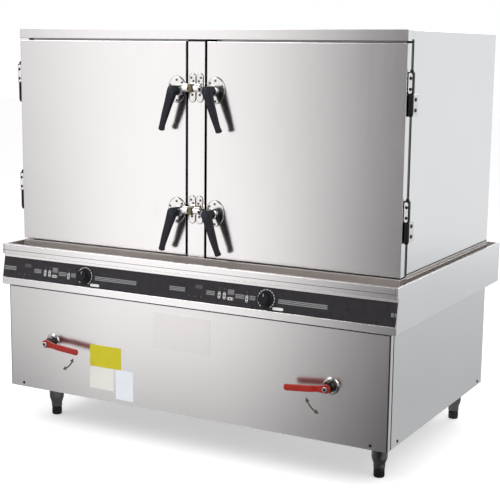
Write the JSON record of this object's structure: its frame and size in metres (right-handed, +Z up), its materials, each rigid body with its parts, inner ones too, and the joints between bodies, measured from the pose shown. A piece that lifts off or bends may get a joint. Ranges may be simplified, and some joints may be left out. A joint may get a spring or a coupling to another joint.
{
  "type": "rice steamer cabinet",
  "caption": "Wide stainless steamer cabinet: side-by-side latched doors over a guttered waist with dials on a sloping panel, and a heated base with drain levers on bullet legs.",
  "frame": {"origin": "on the floor, at the centre of the footprint that includes the drain levers", "axes": "+X to the right along the width as the doors are faced, +Y to the back, +Z up"},
  "size_m": [1.5, 1.039, 1.403],
  "materials": {
    "outer_panels": "brushed",
    "inner_sheet": "satin",
    "frame_steel": "mill",
    "bright_fittings": "polished",
    "leg_steel": "satin",
    "door_hinges": "satin",
    "dark_hinges": "satin",
    "screws": "satin",
    "black_levers": "satin",
    "latch_tongues": "satin",
    "red_levers": "satin",
    "printed_panel": "gloss",
    "knob_black": "satin",
    "knob_rings": "satin",
    "gaskets": "matte",
    "insulation": "matte",
    "coil_copper": "satin",
    "module_case": "satin",
    "brass_pipes": "satin",
    "gland_plastic": "matte"
  },
  "bodies": {
    "cabinet": {"back_panel": "outer_panels", "base_back_panel": "outer_panels", "base_frame": "frame_steel", "base_front_panel": "outer_panels", "base_side_panels": "outer_panels", "body_screws": "screws", "cabinet_hinge_leaves": "dark_hinges", "cable_gland": "gland_plastic", "chamber_liners": "inner_sheet", "control_panels": "printed_panel", "drain_lines": "brass_pipes", "feed_lines": "brass_pipes", "gutter_tray": "inner_sheet", "induction_coils": "coil_copper", "insulation_jacket": "insulation", "keeper_brackets": "bright_fittings", "knob_bezels": "knob_rings", "leg_tubes": "leg_steel", "mullion": "outer_panels", "plinth": "outer_panels", "power_modules": "module_case", "rim_fascia": "outer_panels", "side_panels": "outer_panels", "top_cover": "outer_panels", "tray_racks": "inner_sheet", "valve_escutcheons": "bright_fittings", "waist_panels": "outer_panels", "water_tanks": "inner_sheet"},
    "left_door": {"left_door_skin": "outer_panels", "left_door_core": "insulation", "left_door_pan": "inner_sheet", "left_door_gasket": "gaskets", "left_door_hinge_leaves": "door_hinges", "left_latch_bases": "bright_fittings"},
    "right_door": {"right_door_skin": "outer_panels", "right_door_core": "insulation", "right_door_pan": "inner_sheet", "right_door_gasket": "gaskets", "right_door_hinge_leaves": "door_hinges", "right_latch_bases": "bright_fittings"},
    "upper_left_latch": {"upper_left_lever": "black_levers", "upper_left_tongue": "latch_tongues"},
    "upper_right_latch": {"upper_right_lever": "black_levers", "upper_right_tongue": "latch_tongues"},
    "upper_rollers": {"upper_keeper_rollers": "bright_fittings"},
    "lower_left_latch": {"lower_left_lever": "black_levers", "lower_left_tongue": "latch_tongues"},
    "lower_right_latch": {"lower_right_lever": "black_levers", "lower_right_tongue": "latch_tongues"},
    "lower_rollers": {"lower_keeper_rollers": "bright_fittings"},
    "left_dial": {"left_knob": "knob_black"},
    "left_drain": {"left_valve_lever": "red_levers", "left_valve_stem": "bright_fittings"},
    "front_left_level_foot": {"front_left_foot": "leg_steel"},
    "rear_left_level_foot": {"rear_left_foot": "leg_steel"},
    "right_dial": {"right_knob": "knob_black"},
    "right_drain": {"right_valve_lever": "red_levers", "right_valve_stem": "bright_fittings"},
    "front_right_level_foot": {"front_right_foot": "leg_steel"},
    "rear_right_level_foot": {"rear_right_foot": "leg_steel"}
  },
  "joints": [
    {"name": "left_door_hinge", "type": "hinge", "parent": "cabinet", "child": "left_door", "pos_m": [-0.7325, -0.3765, 1.014], "axis": [0, 0, -1], "range_deg": [0, 180]},
    {"name": "right_door_hinge", "type": "hinge", "parent": "cabinet", "child": "right_door", "pos_m": [0.7325, -0.3765, 1.014], "axis": [0, 0, 1], "range_deg": [0, 180]},
    {"name": "upper_left_latch_turn", "type": "hinge", "parent": "left_door", "child": "upper_left_latch", "pos_m": [-0.065, -0.3895, 1.207], "axis": [0, 1, 0], "range_deg": [0, 90]},
    {"name": "upper_right_latch_turn", "type": "hinge", "parent": "right_door", "child": "upper_right_latch", "pos_m": [0.065, -0.3895, 1.207], "axis": [0, -1, 0], "range_deg": [0, 90]},
    {"name": "upper_roller_spin", "type": "hinge", "parent": "cabinet", "child": "upper_rollers", "pos_m": [0, -0.4175, 1.216], "axis": [1, 0, 0], "continuous": true},
    {"name": "lower_left_latch_turn", "type": "hinge", "parent": "left_door", "child": "lower_left_latch", "pos_m": [-0.065, -0.3895, 0.81], "axis": [0, 1, 0], "range_deg": [0, 90]},
    {"name": "lower_right_latch_turn", "type": "hinge", "parent": "right_door", "child": "lower_right_latch", "pos_m": [0.065, -0.3895, 0.81], "axis": [0, -1, 0], "range_deg": [0, 90]},
    {"name": "lower_roller_spin", "type": "hinge", "parent": "cabinet", "child": "lower_rollers", "pos_m": [0, -0.4175, 0.819], "axis": [1, 0, 0], "continuous": true},
    {"name": "left_dial_turn", "type": "hinge", "parent": "cabinet", "child": "left_dial", "pos_m": [-0.391, -0.47258, 0.56935], "axis": [0, 0.9823, -0.1871], "range_deg": [0, 270]},
    {"name": "right_dial_turn", "type": "hinge", "parent": "cabinet", "child": "right_dial", "pos_m": [0.311, -0.47258, 0.56935], "axis": [0, 0.9823, -0.1871], "range_deg": [0, 270]},
    {"name": "left_drain_turn", "type": "hinge", "parent": "cabinet", "child": "left_drain", "pos_m": [-0.538, -0.508, 0.32], "axis": [0, 1, 0], "range_deg": [0, 85]},
    {"name": "right_drain_turn", "type": "hinge", "parent": "cabinet", "child": "right_drain", "pos_m": [0.538, -0.508, 0.32], "axis": [0, -1, 0], "range_deg": [0, 85]},
    {"name": "front_left_foot_screw", "type": "slide", "parent": "cabinet", "child": "front_left_level_foot", "axis": [0, 0, -1], "range_m": [0, 0.03]},
    {"name": "rear_left_foot_screw", "type": "slide", "parent": "cabinet", "child": "rear_left_level_foot", "axis": [0, 0, -1], "range_m": [0, 0.03]},
    {"name": "front_right_foot_screw", "type": "slide", "parent": "cabinet", "child": "front_right_level_foot", "axis": [0, 0, -1], "range_m": [0, 0.03]},
    {"name": "rear_right_foot_screw", "type": "slide", "parent": "cabinet", "child": "rear_right_level_foot", "axis": [0, 0, -1], "range_m": [0, 0.03]}
  ]
}
